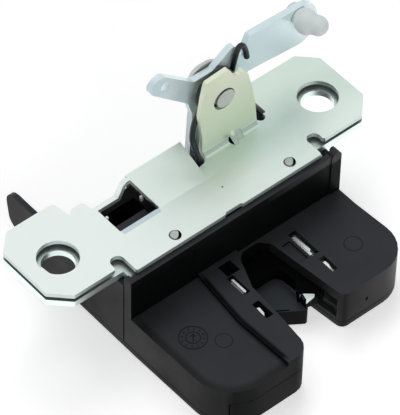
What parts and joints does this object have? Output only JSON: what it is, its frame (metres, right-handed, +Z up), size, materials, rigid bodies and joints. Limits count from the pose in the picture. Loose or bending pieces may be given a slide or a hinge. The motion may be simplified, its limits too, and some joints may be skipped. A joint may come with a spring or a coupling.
{
  "type": "tailgate lock",
  "caption": "Tailgate lock with two bolt ears, a moulded two-lobed housing with a striker mouth, a claw catch and a sprung release lever on a lug",
  "frame": {"origin": "on the flat underside of the base cover, straight below the middle between the two bolt holes", "axes": "+X along the bolt ears towards the end of the socket arm, -Y out of the striker mouth, +Z up through the plates towards the lever"},
  "size_m": [0.1222, 0.0983, 0.0678],
  "materials": {
    "plate_steel": "zinc-plated, satin",
    "frame_steel": "zinc-plated, satin",
    "lever_steel": "blue-passivated zinc, satin",
    "pin_steel": "turned, satin",
    "spring_black": "black phosphated spring wire",
    "housing_black": "fine-grained moulding",
    "cover_black": "fine-grained moulding",
    "jacket_black": "overmoulded, smooth",
    "socket_white": "natural acetal",
    "rubber_black": "matt",
    "gear_nylon": "natural nylon",
    "motor_can": "nickel-plated",
    "switch_red": "smooth moulding",
    "contact_tin": "tin-plated",
    "screw_zinc": "zinc-plated"
  },
  "bodies": {
    "housing": {"mounting_plate": "plate_steel", "catch_retainer": "plate_steel", "pawl_retainer": "plate_steel", "latch_frame": "frame_steel", "lever_pin": "pin_steel", "lever_washer": "pin_steel", "catch_pin": "pin_steel", "pawl_pin": "pin_steel", "wheel_pin": "pin_steel", "plate_rivet_1": "pin_steel", "plate_rivet_2": "pin_steel", "lever_spring": "spring_black", "catch_spring": "spring_black", "pawl_spring": "spring_black", "front_housing": "housing_black", "rear_housing": "housing_black", "base_cover": "cover_black", "pawl_buffer": "rubber_black", "motor": "motor_can", "microswitch": "switch_red", "terminal_1": "contact_tin", "terminal_2": "contact_tin", "terminal_3": "contact_tin", "terminal_4": "contact_tin", "cover_screw_1": "screw_zinc", "cover_screw_2": "screw_zinc", "cover_screw_3": "screw_zinc"},
    "catch_body": {"catch": "frame_steel", "catch_cover": "jacket_black"},
    "pawl_body": {"pawl": "frame_steel"},
    "lever_body": {"release_lever": "lever_steel", "rod_socket": "socket_white"},
    "wheel_body": {"worm_wheel": "gear_nylon"},
    "worm_body": {"motor_worm": "gear_nylon"},
    "plunger_body": {"switch_plunger": "gear_nylon"}
  },
  "joints": [
    {"name": "catch_turn", "type": "hinge", "parent": "housing", "child": "catch_body", "pos_m": [0.023, -0.0315, 0.0084], "axis": [0, 0, 1], "range_deg": [0, 24]},
    {"name": "lever_turn", "type": "hinge", "parent": "housing", "child": "lever_body", "pos_m": [0.016, 0.0115, 0.0524], "axis": [0, 1, 0], "range_deg": [0, 10], "stiffness_Nm_per_rad": 0.4, "springref_deg": -8.59},
    {"name": "pawl_turn", "type": "hinge", "parent": "housing", "child": "pawl_body", "pos_m": [-0.011, -0.042, 0.0083], "axis": [0, 0, 1], "range_deg": [0, 8.1]},
    {"name": "wheel_turn", "type": "hinge", "parent": "housing", "child": "wheel_body", "pos_m": [0.009, -0.0076, 0.0165], "axis": [0, 0, 1], "range_deg": [0, 60]},
    {"name": "worm_turn", "type": "hinge", "parent": "housing", "child": "worm_body", "pos_m": [0.0045, 0.002, 0.0165], "axis": [1, 0, 0], "range_deg": [0, 724]},
    {"name": "plunger_slide", "type": "slide", "parent": "housing", "child": "plunger_body", "axis": [-1, 0, 0], "range_m": [0, 0.00082]}
  ],
  "couplings": [
    {"joint": "pawl_turn", "follows": "lever_turn", "ratio": 0.8},
    {"joint": "worm_turn", "follows": "wheel_turn", "ratio": 12},
    {"joint": "plunger_slide", "follows": "catch_turn", "m_per_rad": 0.0019}
  ]
}
